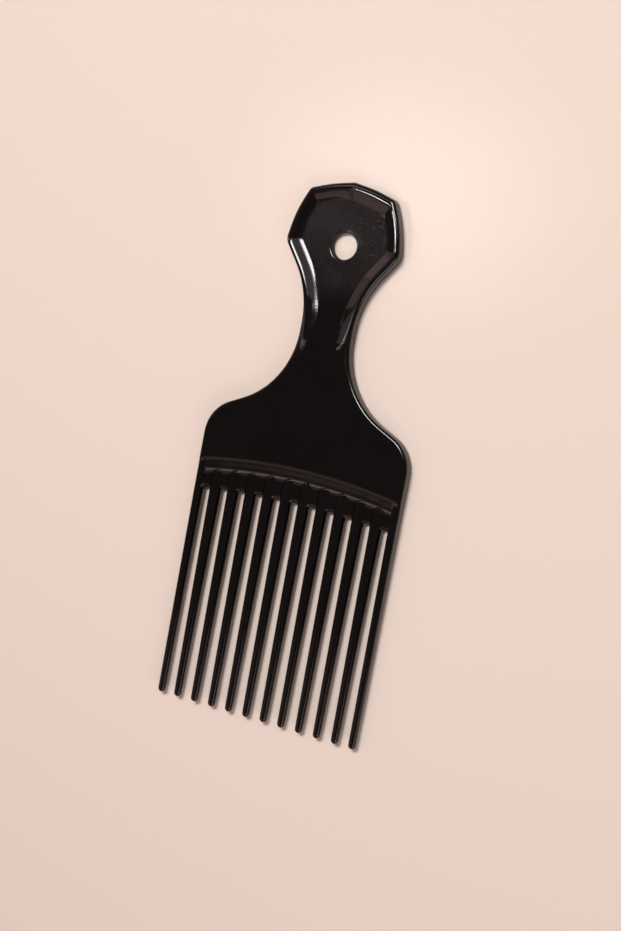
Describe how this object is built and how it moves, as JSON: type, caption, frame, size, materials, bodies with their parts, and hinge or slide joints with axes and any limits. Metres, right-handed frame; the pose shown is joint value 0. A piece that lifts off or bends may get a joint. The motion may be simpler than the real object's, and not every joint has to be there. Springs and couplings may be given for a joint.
{
  "type": "afro pick",
  "caption": "Long-toothed hair pick moulded in one piece, with wide shoulders, a waisted flat handle, a shallow thumb pan and a round hanging hole.",
  "frame": {"origin": "middle of the length and width, on the flat back face that the pick lies on", "axes": "+X across the row of teeth, +Y along the pick from the tooth tips towards the top of the head, +Z out of the front face with the pan"},
  "size_m": [0.071, 0.17, 0.0044],
  "materials": {
    "black_plastic": "glossy moulded plastic, near black with a faint warm tint"
  },
  "bodies": {
    "root": {"grip_plate": "black_plastic", "grip_rim": "black_plastic", "shoulder_plate": "black_plastic", "root_step": "black_plastic", "root_web": "black_plastic", "tooth_01": "black_plastic", "tooth_02": "black_plastic", "tooth_03": "black_plastic", "tooth_04": "black_plastic", "tooth_05": "black_plastic", "tooth_06": "black_plastic", "tooth_07": "black_plastic", "tooth_08": "black_plastic", "tooth_09": "black_plastic", "tooth_10": "black_plastic", "tooth_11": "black_plastic", "tooth_12": "black_plastic"}
  },
  "joints": []
}
